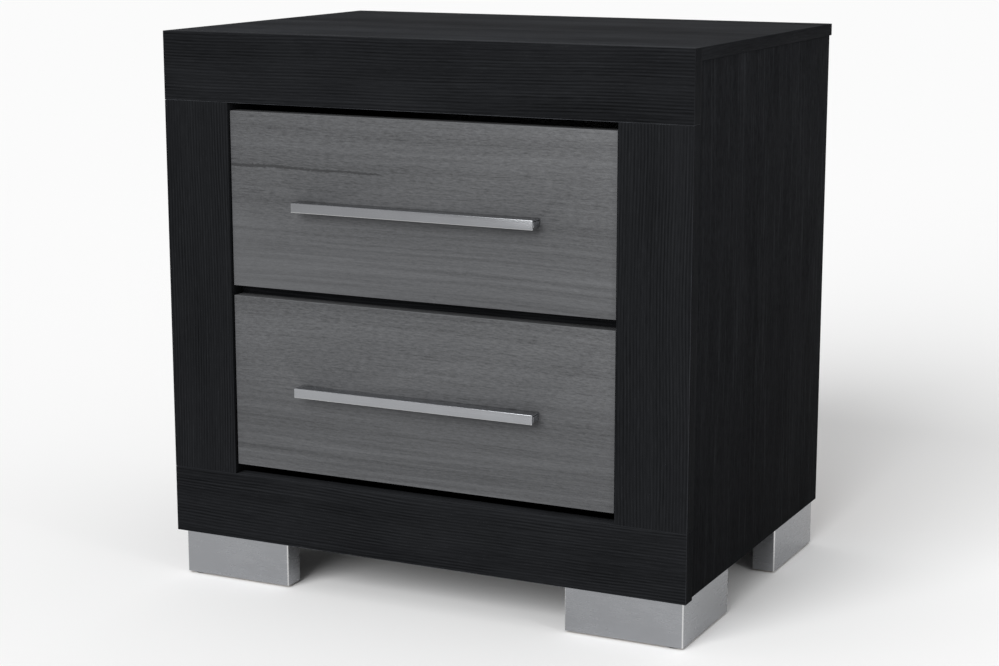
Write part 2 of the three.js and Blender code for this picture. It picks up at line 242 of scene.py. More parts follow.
@cache
def black_laminate(name, grain, across, lines=0.16, streaks=0.12, streak_run=3.5, fibres=0.55,
                   fibre_run=45, drift=1.0, gloss=0.003, top_painted_light=(1.0, 1.0), side_painted_light=1.0,
                   lower_edge_highlight=EDGE_LEVEL, corner_highlight=(EDGE_LEVEL, EDGE_LEVEL)):
    """Black laminate with fine, slightly wavy embossed lines along the grain, paler edges that are partly
    wear and partly painted highlight, and painted light and shade by face and height.
    """
    s = Shader(f"black_laminate_{name}", Specular_IOR_Level=gloss)
    # painted light and shade: paler top and end faces, side faces darker towards the floor
    painted_shading = painted_board_shading(s, top_painted_light, side_painted_light)
    # painted highlight along the frame's outer front corners, brightest at mid height
    corner_highlight_level = s.remap(s.axis["Z"], 0.36, 0.5, *corner_highlight)
    edge_level = s.remap(outer_front_edge(s), 0, 1, EDGE_LEVEL, corner_highlight_level)
    s.follow_board(grain, across)
    s.bend_grain(0.015, (2.8, 6, 6))
    ripple = s.math("MULTIPLY", s.noise((11, 50, 50)), 0.0028)
    phase = s.math("MULTIPLY", s.math("ADD", s.axis["Y"], ripple), 2 * math.pi / BLACK_LINE_PITCH)
    wave = s.math("SINE", phase)
    line = s.math("MULTIPLY", wave, s.remap(s.noise((7, 100, 100)), 0.35, 0.65, 0.2, 1.0))
    fibre = s.swing((fibre_run, 1300, 1300), 3.0, 0.6)
    streak = s.remap(s.noise((streak_run, 420, 420), 1.0), 0.56, 0.7)
    # painted glints: bright specks on the crests of the embossed lines
    spark = s.remap(s.noise((140, 330, 330), 1.0), 0.6, 0.75)
    glint = s.math("MULTIPLY", spark, s.math("MAXIMUM", wave, 0.0))
    value = s.add_up(
        0.4,
        (line, lines),
        (fibre, fibres),
        (streak, streaks),
        (glint, 0.12),
        (s.swing((9, 16, 16)), 0.3 * drift),
        (s.swing((1.6, 24, 24)), 0.5 * drift),
    )
    colour = s.mix(value, *(gray(level, BLUE_BLACK) for level in BLACK_LEVELS))
    colour = s.vector_math("SCALE", colour, painted_shading)
    colour = with_worn_and_lit_edges(s, colour, edge_level, lower_edge_highlight)
    height = s.math("MULTIPLY_ADD", line, 0.4, s.math("MULTIPLY", fibre, 0.8))
    return s.finish(colour, s.remap(value, 0, 1, 0.62, 0.48), height, 0.00012)


def painted_board_shading(s, top_painted_light, side_painted_light):
    """Painted light and shade on a black board: faces along Z paler, more at the front, faces along X
    darker towards the floor.
    """
    top = s.remap(s.axis["Y"], CAD_BOX[0].y, CAD_BOX[1].y, *top_painted_light)
    painted_side_shade = s.remap(s.axis["Z"], 0.1, 0.5, *SIDE_PAINTED_SHADE)
    other_faces = s.remap(s.facing("Z"), 0, 1, 1, top)
    return s.mix(s.facing("X"), other_faces, s.math("MULTIPLY", painted_side_shade, side_painted_light), "FLOAT")


def outer_front_edge(s):
    """1 on surfaces that face away from the middle of the object and somewhat forwards, else 0."""
    outward = s.math("GREATER_THAN", s.math("MULTIPLY", s.axis["X"], s.normal["X"]), 0.02)
    return s.math("MULTIPLY", outward, s.math("LESS_THAN", s.normal["Y"], -0.2))


def with_worn_and_lit_edges(s, colour, edge_level, lower_edge_highlight):
    """A colour with unevenly paler rounded edges, partly wear and partly painted highlight, and a
    brighter painted highlight where they face down.
    """
    wear_and_highlight = s.math("MULTIPLY", s.arris(), s.remap(s.noise((30, 30, 30), 3.0, 0.7), 0.35, 0.65, 0.3, 1.0))
    colour = s.mix(wear_and_highlight, colour, s.vector_math("SCALE", BLUE_BLACK, edge_level))
    # painted highlight on the rounded edges that face down
    below = s.math("MULTIPLY", wear_and_highlight, s.math("LESS_THAN", s.normal["Z"], -0.3))
    return s.mix(below, colour, gray(lower_edge_highlight, BLUE_BLACK))


@cache
def grey_laminate(grain, across):
    """Grey fine-grained laminate: a fine speckle, short dark hairs, long soft lines, one dark vein and
    painted shade towards the floor.
    """
    s = Shader(f"grey_laminate_{grain}{across}", Specular_IOR_Level=0.15)
    vein = dark_vein(s)
    height_share = front_height_share(s)
    # painted shade: darker towards the floor
    painted_shading = s.remap(s.axis["Z"], 0.15, 0.38, *DRAWER_PAINTED_SHADE)
    s.follow_board(grain, across)
    s.bend_grain(0.05, (1.3, 2.2, 2.2))
    share = s.math("MULTIPLY_ADD", s.swing((3, 12, 12)), 0.5, height_share)
    line_strength = s.remap(share, 0.3, 0.55, 1.0, CALM)
    speckle_strength = s.remap(line_strength, CALM, 1.0, 1.05, 0.6)
    line = s.swing((2.3, 170, 170), 4.0, 0.68)
    speckle = s.swing((130, 640, 640), 2.0, 0.7)
    hair = s.remap(s.noise((42, 560, 560), 1.0), 0.6, 0.74)
    pore = s.remap(s.noise((34, 2300, 2300)), 0.56, 0.68)
    value = s.add_up(
        0.5,
        (s.swing((0.8, 30, 30)), 0.68),
        (s.math("MULTIPLY", line, line_strength), 1.2),
        (s.math("MULTIPLY", speckle, speckle_strength), 1.05),
        (s.swing((420, 2800, 2800), 2.0, 0.6), 0.6),
        (s.math("MULTIPLY", hair, speckle_strength), -0.17),
        (pore, -0.14),
        (vein, -1.0),
    )
    colour = s.mix(value, *(gray(level, COOL_GREY) for level in DRAWER_LEVELS))
    colour = s.vector_math("SCALE", colour, painted_shading)
    edge = gray(1.4 * DRAWER_LEVELS[1], COOL_GREY)
    colour = s.mix(s.math("MULTIPLY", s.arris(), 0.5), colour, edge)
    height = s.math("MULTIPLY_ADD", hair, -0.6, speckle)
    return s.finish(colour, s.remap(value, 0, 1, 0.6, 0.45), height, 0.00006)


def front_height_share(s):
    """How far up its own drawer front a place is, from 0 to about 1."""
    lower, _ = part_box("lower_drawer_front")
    upper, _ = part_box("upper_drawer_front")
    rise = s.math("DIVIDE", s.math("SUBTRACT", s.axis["Z"], lower.z), upper.z - lower.z)
    return s.math("FRACT", rise)


def dark_vein(s):
    """The thin dark vein that runs in from the left edge of the upper drawer front and fades out."""
    low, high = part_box("upper_drawer_front")
    middle_height = low.z + 0.7 * (high.z - low.z)
    end = low.x + 0.42 * (high.x - low.x)
    wander = s.math("MULTIPLY_ADD", s.noise((7, 0, 0), 3.0), 0.008, middle_height - 0.004)
    fray = s.math("MULTIPLY_ADD", s.noise((260, 0, 900)), 0.004, -0.002)
    droop = s.math("MULTIPLY_ADD", s.axis["X"], -0.011, 0.011 * low.x)
    offset = s.math("SUBTRACT", s.math("SUBTRACT", s.axis["Z"], wander), droop)
    offset = s.math("ABSOLUTE", s.math("ADD", offset, fray))
    width = s.remap(s.axis["X"], low.x, end, 0.0024, 0.0013)
    line = s.math("SUBTRACT", 1.0, s.math("DIVIDE", offset, width), clamp=True)
    broken = s.remap(s.noise((60, 0, 500)), 0.3, 0.5, 0.45, 1.0)
    return s.math("MULTIPLY", s.math("MULTIPLY", line, broken), s.remap(s.axis["X"], end, end - 0.012))


@cache
def drawer_foil(grain, across):
    """Dark grey foil of a drawer box, with a faint fine grain and paler wrapped edges."""
    s = Shader(f"drawer_foil_{grain}{across}", Specular_IOR_Level=0.2)
    s.follow_board(grain, across)
    fine = s.noise((60, 900, 900), 3.0, 0.6)
    band = s.noise((2, 40, 40))
    value = s.math("MULTIPLY_ADD", fine, 0.65, s.math("MULTIPLY", band, 0.35))
    colour = s.mix(s.remap(value, 0.32, 0.68), gray(0.026, COOL_GREY), gray(0.06, COOL_GREY))
    colour = s.mix(s.math("MULTIPLY", s.arris(), 0.5), colour, gray(0.11, COOL_GREY))
    return s.finish(colour, s.remap(value, 0.32, 0.68, 0.6, 0.48), fine, 0.00004)


@cache
def drawer_bottom_board():
    """A thin board with grey foil on top and bare hardboard underneath."""
    s = Shader("drawer_bottom_board", Specular_IOR_Level=0.2)
    fine = s.noise((60, 900, 900), 3.0, 0.6)
    fibre = s.noise((420, 420, 420), 4.0, 0.7)
    foil = s.mix(s.remap(fine, 0.32, 0.68), gray(0.032, COOL_GREY), gray(0.062, COOL_GREY))
    bare = s.mix(s.remap(fibre, 0.35, 0.65), (0.09, 0.05, 0.028, 1), (0.2, 0.115, 0.065, 1))
    upward = s.math("GREATER_THAN", s.normal["Z"], 0.5)
    return s.finish(s.mix(upward, bare, foil), s.remap(fibre, 0.3, 0.7, 0.5, 0.65), fine, 0.00004)


@cache
def hardboard():
    """Brown hardboard with pressed fibres."""
    s = Shader("hardboard", Specular_IOR_Level=0.2)
    fibre = s.noise((420, 420, 420), 4.0, 0.7)
    cloud = s.noise((9, 9, 9), 3.0)
    value = s.math("MULTIPLY_ADD", fibre, 0.7, s.math("MULTIPLY", cloud, 0.3))
    colour = s.mix(s.remap(value, 0.3, 0.7), (0.07, 0.036, 0.02, 1), (0.19, 0.105, 0.06, 1))
    return s.finish(colour, s.remap(fibre, 0.3, 0.7, 0.55, 0.75), fibre, 0.00008)


@cache
def fibreboard():
    """Fibreboard of a leg's core: bare underneath and sealed dark on its edges."""
    s = Shader("fibreboard", Specular_IOR_Level=0.1)
    fibre = s.noise((700, 700, 700), 4.0, 0.7)
    bare = s.mix(s.remap(fibre, 0.3, 0.7), (0.16, 0.12, 0.085, 1), (0.3, 0.235, 0.17, 1))
    sealed = s.mix(fibre, gray(0.02), gray(0.045))
    below = s.math("LESS_THAN", s.normal["Z"], -0.9)
    return s.finish(s.mix(below, sealed, bare), 0.9, fibre, 0.0002)


@cache
def brushed_nickel(name, grain, across, reflection_ends=(1.0, 1.0)):
    """Satin nickel brushed along its length and faintly cloudy, with painted reflection along its length
    and on its faces along X and Z, and a painted highlight on its lower rounded edges.
    """
    s = Shader(f"brushed_nickel_{name}", Metallic=1.0)
    # painted reflection: tone graded from the left to the right end
    end_reflection = s.remap(s.axis["X"], -HANDLE_REACH, HANDLE_REACH, *reflection_ends)
    s.follow_board(grain, across)
    streak = s.noise((9, 2600, 2600), 3.0, 0.6)
    cloud = s.noise((35, 60, 60))
    value = s.math("MULTIPLY_ADD", streak, 0.7, s.math("MULTIPLY", cloud, 0.3))
    colour = s.mix(s.remap(value, 0.35, 0.65), gray(0.28, COOL_GREY), gray(0.318, COOL_GREY))
    # painted reflection: faces along X much paler, faces along Z paler
    painted_shading = s.remap(s.facing("X"), 0, 1, s.remap(s.facing("Z"), 0, 1, 1, 1.3), 1.9)
    colour = s.vector_math("SCALE", colour, s.math("MULTIPLY", painted_shading, end_reflection))
    # painted highlight: a bright line on the rounded lower edges
    painted_lower_highlight = s.math("MULTIPLY", s.arris(), s.math("LESS_THAN", s.normal["Z"], -0.1))
    colour = s.mix(painted_lower_highlight, colour, gray(0.9))
    return s.finish(colour, s.remap(value, 0.3, 0.7, 0.16, 0.23), streak, 0.00002)


@cache
def leg_nickel():
    """The legs' sheet metal: brushed along each wing, slightly mottled, with a painted highlight on its
    bends.
    """
    s = Shader("leg_nickel", Metallic=1.0)
    along = s.math("ADD", s.axis["X"], s.axis["Y"])  # runs along a wing of either direction
    across = s.math("SUBTRACT", s.axis["X"], s.axis["Y"])
    s.use_place(s.join(along, s.axis["Z"], across))
    streak = s.noise((5, 900, 12), 3.0, 0.6)
    mottle = s.noise((45, 260, 45))
    cloud = s.noise((10, 24, 10))
    value = s.math("MULTIPLY_ADD", mottle, 0.35, s.math("MULTIPLY", cloud, 0.4))
    value = s.math("MULTIPLY_ADD", streak, 0.25, value)
    colour = s.mix(s.remap(value, 0.38, 0.62), gray(0.309, COOL_GREY), gray(0.325, COOL_GREY))
    # painted highlight: the rounded bends are paler, so each corner shows a bright line
    colour = s.mix(s.arris(), colour, gray(0.72))
    return s.finish(colour, s.remap(value, 0.35, 0.65, 0.23, 0.3), streak, 0.0000025)


@cache
def zinc():
    """Zinc-plated steel with a cloudy, finely drawn surface."""
    s = Shader("zinc", Metallic=1.0)
    cloud = s.noise((55, 55, 55), 3.0)
    drawn = s.noise((900, 12, 900), 3.0, 0.6)
    value = s.math("MULTIPLY_ADD", drawn, 0.5, s.math("MULTIPLY", cloud, 0.5))
    colour = s.mix(s.remap(value, 0.35, 0.65), (0.31, 0.325, 0.345, 1), (0.44, 0.45, 0.46, 1))
    return s.finish(colour, s.remap(value, 0.35, 0.65, 0.28, 0.4), drawn, 0.000004)


@cache
def polished_steel():
    """The bright steel of bearing balls, with a trace of grease."""
    s = Shader("polished_steel", Metallic=1.0)
    film = s.noise((400, 400, 400))
    colour = s.mix(film, gray(0.5), gray(0.72))
    return s.finish(colour, s.remap(film, 0.3, 0.7, 0.08, 0.22), film, 0.00001)


@cache
def black_plastic():
    """Moulded black plastic with a fine grit."""
    s = Shader("black_plastic", Specular_IOR_Level=0.4)
    grit = s.noise((1200, 1200, 1200))
    return s.finish(s.mix(grit, gray(0.012), gray(0.03)), 0.55, grit, 0.00005)


# ---- Mesh building ------------------------------------------------------------------------------------
SMOOTH_BELOW = math.radians(32)  # edges that bend by more stay sharp


def piece_from(bm, name, material, body, replaced=(), bevel=0.0):
    """Turns a bmesh into a named piece that rides on a body and stands for the replaced CAD nodes."""
    bmesh.ops.recalc_face_normals(bm, faces=bm.faces)
    mesh = bpy.data.meshes.new(name)
    bm.to_mesh(mesh)
    bm.free()
    mesh.shade_smooth()
    mesh.set_sharp_from_angle(angle=SMOOTH_BELOW)
    mesh.materials.append(material)
    piece = bpy.data.objects.new(name, mesh)
    bpy.context.scene.collection.objects.link(piece)
    if bevel:
        round_edges(piece, bevel)
    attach(piece, body)
    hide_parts(*replaced)
    return piece


def round_edges(piece, width):
    edges = piece.modifiers.new("edges", "BEVEL")
    edges.width = width
    edges.segments = 3
    edges.limit_method = "ANGLE"
    edges.angle_limit = math.radians(40)
    edges.harden_normals = True
    edges.use_clamp_overlap = False


def filleted(path, radius, closed=False, steps=5):
    """A path of 2D points whose corners are arcs of a radius, or of their own radii from a list."""
    points = [Vector(p) for p in path]
    radii = radius if isinstance(radius, list) else [radius] * len(points)
    result = []
    for i, corner in enumerate(points):
        is_end = not closed and i in (0, len(points) - 1)
        if is_end or not radii[i]:
            result.append(corner)
            continue
        back = (points[i - 1] - corner).normalized()
        ahead = (points[(i + 1) % len(points)] - corner).normalized()
        half = back.angle(ahead) / 2
        centre = corner + (back + ahead).normalized() * (radii[i] / math.sin(half))
        inset = radii[i] / math.tan(half)
        start = corner + back * inset - centre
        turn = start.angle_signed(corner + ahead * inset - centre)
        for step in range(steps + 1):
            result.append(centre + Matrix.Rotation(-turn * step / steps, 2) @ start)
    return result


def sheet_outline(path, thickness):
    """The closed outline of a sheet of a thickness whose middle follows an open path."""
    sides = ([], [])
    for i, point in enumerate(path):
        before = (point - path[i - 1]).normalized() if i else None
        after = (path[i + 1] - point).normalized() if i < len(path) - 1 else before
        before = before or after
        across = Vector((-(before + after).y, (before + after).x)).normalized()
        reach = thickness / 2 / max(0.3, across.dot(Vector((-after.y, after.x))))
        sides[0].append(point + across * reach)
        sides[1].append(point - across * reach)
    return sides[0] + sides[1][::-1]


def add_prism(bm, outline, to_space, start, end):
    """A solid whose section is a closed 2D outline; to_space(u, v, w) gives the 3D point at depth w."""
    rings = [[bm.verts.new(to_space(p[0], p[1], w)) for p in outline] for w in (start, end)]
    bm.faces.new(rings[0])
    bm.faces.new(rings[1][::-1])
    count = len(outline)
    for i in range(count):
        j = (i + 1) % count
        bm.faces.new((rings[0][i], rings[1][i], rings[1][j], rings[0][j]))


def add_lathe(bm, profile, origin, axis, segments=24):
    """Turns a profile of (radius, height) points, from the axis back to the axis, round a line."""
    axis = Vector(axis).normalized()
    side = axis.orthogonal().normalized()
    other = axis.cross(side)
    angles = [2 * math.pi * i / segments for i in range(segments)]
    spokes = [side * math.cos(angle) + other * math.sin(angle) for angle in angles]
    rings = []
    for radius, height in profile:
        base = Vector(origin) + axis * height
        points = [base + spoke * radius for spoke in spokes] if radius else [base]
        rings.append([bm.verts.new(point) for point in points])
    for lower, upper in zip(rings, rings[1:]):
        for i in range(segments):
            j = (i + 1) % segments
            around = ((lower, i), (lower, j), (upper, j), (upper, i))
            corners = [ring[k % len(ring)] for ring, k in around]
            unique = [vert for n, vert in enumerate(corners) if vert not in corners[:n]]
            if len(unique) > 2:
                bm.faces.new(unique)


def arc(centre, radius, start, end, steps=5):
    """Points on an arc between two angles in degrees."""
    angles = [math.radians(start + (end - start) * i / steps) for i in range(steps + 1)]
    return [(centre[0] + radius * math.cos(t), centre[1] + radius * math.sin(t)) for t in angles]


def slot_outline(length, width):
    """A long hole with round ends, along the first axis."""
    reach = (length - width) / 2
    return arc((reach, 0), width / 2, -90, 90, 8) + arc((-reach, 0), width / 2, 90, 270, 8)


def rectangle(reach, half_width):
    """The corners of a rectangle round the origin."""
    return [(-reach, -half_width), (reach, -half_width), (reach, half_width), (-reach, half_width)]


def cut(piece, cutter_bm):
    """Cuts a bmesh of closed solids out of a piece for good."""
    bmesh.ops.recalc_face_normals(cutter_bm, faces=cutter_bm.faces)
    mesh = bpy.data.meshes.new("cutter")
    cutter_bm.to_mesh(mesh)
    cutter_bm.free()
    cutter = bpy.data.objects.new("cutter", mesh)
    bpy.context.scene.collection.objects.link(cutter)
    boolean = piece.modifiers.new("cut", "BOOLEAN")
    boolean.operation = "DIFFERENCE"
    boolean.solver = "EXACT"
    boolean.object = cutter
    graph = bpy.context.evaluated_depsgraph_get()
    finished = bpy.data.meshes.new_from_object(piece.evaluated_get(graph), depsgraph=graph)
    piece.modifiers.remove(boolean)
    piece.data = finished
    bpy.data.objects.remove(cutter)
    finished.set_sharp_from_angle(angle=SMOOTH_BELOW)


# ---- Boards carried over from the CAD model -----------------------------------------------------------
def dress(node, material, bevel=0.0004):
    """Gives a CAD board a finish and small rounded edges."""
    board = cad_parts[node]
    board.data.materials.clear()
    board.data.materials.append(material)
    board.modifiers.new("weld", "WELD").merge_threshold = 0.01 * MM
    flatten = board.modifiers.new("flatten", "DECIMATE")
    flatten.decimate_type = "DISSOLVE"
    flatten.angle_limit = math.radians(1)
    round_edges(board, bevel)
    for face in board.data.polygons:
        face.use_smooth = True


def dress_case():
    # Painted light: the rails and top are paler on faces along Z, and the rails, stiles and top on their
    # ends. Painted highlights: the rails' and stiles' outer front corners, and the rails' lower edges.
    rail = black_laminate("rail", "X", "Z", top_painted_light=TOP_PAINTED_LIGHT, side_painted_light=1.3,
                          lower_edge_highlight=LOWER_EDGE_HIGHLIGHT, corner_highlight=CORNER_HIGHLIGHT)
    stile = black_laminate("stile", "Z", "X", lines=0.14, streaks=0.08, drift=0.45,
                           side_painted_light=1.15, corner_highlight=CORNER_HIGHLIGHT)
    top = black_laminate("top", "X", "Y", lines=0.0, streaks=0.0, gloss=0.002,
                         top_painted_light=TOP_PAINTED_LIGHT, side_painted_light=1.15)
    side_panel = black_laminate("side", "Z", "Y", lines=0.08, streaks=0.28, streak_run=9,
                                fibres=1.1, fibre_run=110, drift=0.55, gloss=0.002)
    upright = black_laminate("upright", "Z", "Y")
    shelf = black_laminate("shelf", "X", "Y")
    for node in ("front_top_rail", "front_bottom_rail"):
        dress(node, rail)
    for side in ("left", "right"):
        dress(f"front_{side}_stile", stile)
        dress(f"{side}_side_panel", side_panel)
        dress(f"{side}_inner_panel", upright)
    dress("top_panel", top)
    for node in ("bottom_panel", "drawer_divider_rail", "rear_top_stretcher"):
        dress(node, shelf)
    dress("back_panel", hardboard(), 0.0003)


def dress_drawer(drawer):
    dress(f"{drawer}_drawer_front", grey_laminate("X", "Z"), 0.0006)
    for part in ("box_front", "back"):
        dress(f"{drawer}_drawer_{part}", drawer_foil("X", "Z"), 0.0009)
    for part in ("left_side", "right_side"):
        dress(f"{drawer}_drawer_{part}", drawer_foil("Y", "Z"), 0.0009)
    dress(f"{drawer}_drawer_bottom", drawer_bottom_board(), 0.0003)
    bar = brushed_nickel(f"{drawer}_bar", "X", "Z", HANDLE_PAINTED_REFLECTION[drawer])
    dress(f"{drawer}_handle_bar", bar, 0.0007)
    for side in ("left", "right"):
        dress(f"{drawer}_handle_{side}_post", brushed_nickel("post", "Y", "X"), 0.0004)


# ---- Legs ---------------------------------------------------------------------------------------------
SLEEVE_SHEET = 1.2 * MM
LEG_WING_WIDTH = 26 * MM
SLEEVE_BEND = 1.2 * MM


def build_leg(end, side):
    """A bent metal sleeve with its seam at the inner corner, round a fibreboard core on a glide."""
    name = f"{end}_{side}_leg"
    low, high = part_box(f"{name}_sleeve")
    x_sign = 1 if side == "right" else -1
    y_sign = 1 if end == "rear" else -1
    corner_x = high.x if side == "right" else low.x
    corner_y = high.y if end == "rear" else low.y
    reach = high.x - low.x
    half = SLEEVE_SHEET / 2
    near, far, inner = half, reach - half, LEG_WING_WIDTH - half
    seam = inner + SLEEVE_SHEET * 0.6
    path = [(inner, seam), (inner, far), (near, far), (near, near)]
    path += [(far, near), (far, inner), (seam, inner)]
    outline = sheet_outline(filleted(path, SLEEVE_BEND), SLEEVE_SHEET)

    def to_space(u, v, w):
        return Vector((corner_x - x_sign * u, corner_y - y_sign * v, w))

    bm = bmesh.new()
    add_prism(bm, outline, to_space, low.z, high.z)
    piece_from(bm, f"{name}_bent_sleeve", leg_nickel(), "case", [f"{name}_sleeve"],
               bevel=0.00025)
    dress(f"{name}_core", fibreboard(), 0.0003)
    build_glide(name)


def build_glide(name):
    """A round plastic foot with a soft rim, nailed through a recess in its middle."""
    low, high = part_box(f"{name}_glide")
    middle = (low + high) / 2
    base = Vector((middle.x, middle.y, low.z))
    radius = (high.x - low.x) / 2
    height = high.z - low.z
    rim = 0.9 * MM
    recess = 0.9 * MM
    well = 3.4 * MM
    lip = 0.4 * MM
    profile = [(0, recess), (well, recess)] + arc((well + lip, lip), lip, 180, 270, 3)
    profile += arc((radius - rim, rim), rim, -90, 0) + [(radius, height), (0, height)]
    foot = bmesh.new()
    add_lathe(foot, profile, base, (0, 0, 1), 40)
    piece_from(foot, f"{name}_foot", black_plastic(), "case", [f"{name}_glide"])
    dome = arc((0, 2.6 * MM), 3.6 * MM, -90, -38)
    head = [(r, h + 1.35 * MM) for r, h in dome] + [(0, 1.4 * MM)]
    nail = bmesh.new()
    add_lathe(nail, head, base, (0, 0, 1), 20)
    piece_from(nail, f"{name}_nail", zinc(), "case")


# ---- Drawer slides ------------------------------------------------------------------------------------
STEEL = 1.2 * MM
BALL_RADIUS = 1.3 * MM
BALL_PITCH = 11 * MM
CAGE_LENGTH = 150 * MM
RACE_LIP = 1.4 * MM
LEVER_START = 0.52  # as a share of the slide's length
SLIDE_HOLES = {  # where a member's web is punched, as shares of its length
    "case": (0.08, 0.2, 0.36, 0.64, 0.9),
    "middle": (0.12, 0.3, 0.5, 0.7, 0.88),
    "drawer": (0.1, 0.4, 0.75),
}
SCREWED_HOLES = (0, 2)  # which of a member's holes take a screw


class SlideSpace:
    """Places in a slide: depth from the inner panel, height from its middle, distance from its front."""

    def __init__(self, drawer, side):
        self.name = f"{drawer}_{side}_slide"
        low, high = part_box(f"{self.name}_case_member")
        panel_low, panel_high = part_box(f"{side}_inner_panel")
        self.inward = -1 if side == "right" else 1
        self.wall = panel_low.x if side == "right" else panel_high.x
        self.middle = (low.z + high.z) / 2
        self.front, self.rear = low.y, high.y

    def point(self, depth, height, along):
        return Vector((self.wall + self.inward * depth, self.front + along, self.middle + height))

    def depth_range(self, node):
        low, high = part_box(node)
        return sorted(abs(x - self.wall) for x in (low.x, high.x))


def member_outline(space, node, opens_inward):
    """A channel whose flanges end in lips that wrap round the balls."""
    low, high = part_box(node)
    near, far = space.depth_range(node)
    half = STEEL / 2
    top = (high.z - low.z) / 2 - half
    web, tip = (near + half, far - half) if opens_inward else (far - half, near + half)
    step = RACE_LIP if opens_inward else -RACE_LIP
    path = [(tip, top - RACE_LIP), (tip - step, top), (web, top)]
    path += [(u, -v) for u, v in reversed(path)]
    return sheet_outline(filleted(path, [0, 0.9 * MM, 1.5 * MM, 1.5 * MM, 0.9 * MM, 0]), STEEL), web


def build_slide(drawer, side):
    """A ball-bearing slide of three members, with its ball cages, screws and release lever."""
    space = SlideSpace(drawer, side)
    length = space.rear - space.front
    members = (
        ("case", "case", True),
        ("middle", f"{drawer}_slide_carriage", True),
        ("drawer", f"{drawer}_drawer", False),
    )
    for member, body, opens_inward in members:
        node = f"{space.name}_{member}_member"
        outline, web = member_outline(space, node, opens_inward)
        bm = bmesh.new()
        add_prism(bm, outline, space.point, 0, length)
        piece = piece_from(bm, f"{space.name}_{member}_channel", zinc(), body, [node])
        cut(piece, hole_cutters(space, member, web, length))
        if member != "middle":
            places = [SLIDE_HOLES[member][i] * length for i in SCREWED_HOLES]
            add_slide_screws(space, member, body, web, places)
    add_ball_cages(space, f"{drawer}_slide_carriage", length)
    add_release_lever(space, f"{drawer}_drawer", length)


def hole_cutters(space, member, web, length):
    """Solids for the holes in a web: round and slotted in turn, or wide ones in the middle member."""
    cutters = bmesh.new()
    for i, share in enumerate(SLIDE_HOLES[member]):
        if member == "middle":
            outline = slot_outline(24 * MM, 12 * MM)
        elif i % 2:
            outline = slot_outline(14 * MM, 5 * MM)
        else:
            outline = slot_outline(5.2 * MM, 5 * MM)
        start = share * length

        def to_space(u, v, w):
            return space.point(w, v, start + u)

        add_prism(cutters, outline, to_space, web - STEEL, web + STEEL)
    return cutters


def add_slide_screws(space, member, body, web, places):
    """Screws through the web: flat heads in the case member, low pan heads in the drawer member."""
    shank = 2.0 * MM
    if member == "drawer":
        out = -space.inward
        profile = [(0, -STEEL), (shank, -STEEL), (shank, 0.05 * MM), (3.6 * MM, 0.05 * MM)]
        profile += arc((2.4 * MM, 0.6 * MM), 1.2 * MM, 0, 90, 4)[1:]
        profile += [(0.9 * MM, 1.9 * MM), (0, 1.1 * MM)]
    else:
        out = space.inward
        profile = [(0, -STEEL), (shank, -STEEL), (2.4 * MM, 0.1 * MM)]
        profile += [(0.9 * MM, 0.1 * MM), (0, -0.5 * MM)]
    bm = bmesh.new()
    for along in places:
        start = space.point(web, 0, along) + Vector((out * STEEL / 2, 0, 0))
        add_lathe(bm, profile, start, (out, 0, 0), 20)
    piece_from(bm, f"{space.name}_{member}_screws", zinc(), body)


def add_ball_cages(space, body, length):
    """Steel strips with balls, above and below: one pair outside and one inside the middle member."""
    tops = [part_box(f"{space.name}_{member}_member")[1].z for member in ("case", "middle", "drawer")]
    case_top, middle_top, drawer_top = (top - space.middle for top in tops)
    end_gap = 8 * MM
    rows = (
        ("outer", (case_top - STEEL + middle_top) / 2, length - CAGE_LENGTH - end_gap, 5.6 * MM),
        ("inner", (middle_top - STEEL + drawer_top) / 2, end_gap, 7.4 * MM),
    )
    outline = filleted(rectangle(CAGE_LENGTH / 2, 2 * MM), 1.2 * MM, closed=True, steps=3)
    half_strip = 0.3 * MM
    for which, height, start, depth in rows:
        strips = bmesh.new()
        balls = bmesh.new()
        for sign in (1, -1):

            def to_space(u, v, w):
                return space.point(depth + v, sign * w, start + CAGE_LENGTH / 2 + u)

            add_prism(strips, outline, to_space, height - half_strip, height + half_strip)
            for i in range(int(CAGE_LENGTH / BALL_PITCH)):
                centre = space.point(depth, sign * height, start + (i + 0.6) * BALL_PITCH)
                bmesh.ops.create_uvsphere(balls, u_segments=10, v_segments=6, radius=BALL_RADIUS,
                                          matrix=Matrix.Translation(centre))
        piece_from(strips, f"{space.name}_{which}_cage", zinc(), body)
        piece_from(balls, f"{space.name}_{which}_balls", polished_steel(), body)


def add_release_lever(space, body, length):
    """The slim curved plastic lever inside the drawer member that lets the drawer be lifted out."""
    path = [(0, 0), (14 * MM, 0.5 * MM), (30 * MM, 4 * MM), (46 * MM, 4.5 * MM), (58 * MM, 1 * MM)]
    outline = sheet_outline(filleted(path, 12 * MM), 4 * MM)
    _, far = space.depth_range(f"{space.name}_drawer_member")
    inner_face = far - STEEL

    def to_space(u, v, w):
        return space.point(w, v - 2 * MM, LEVER_START * length + u)

    bm = bmesh.new()
    add_prism(bm, outline, to_space, inner_face - 2.6 * MM, inner_face - 0.1 * MM)
    piece_from(bm, f"{space.name}_lever", black_plastic(), body, bevel=0.0003)


# ---- Screws, nails and other small fittings -----------------------------------------------------------
NAIL_INSET = 30 * MM


def add_driver_cross(bm, origin, axis, reach, depth):
    """Two crossed bars, which leave a driver's cross when they are cut out of a screw head."""
    axis = Vector(axis).normalized()
    side = axis.orthogonal().normalized()
    other = axis.cross(side)
    arm = 0.22 * reach
    outline = filleted(rectangle(reach, arm), arm * 0.6, closed=True, steps=2)
    for u_axis, v_axis in ((side, other), (other, side)):

        def to_space(u, v, w):
            return Vector(origin) + u_axis * u + v_axis * v + axis * w

        add_prism(bm, outline, to_space, -depth, reach)


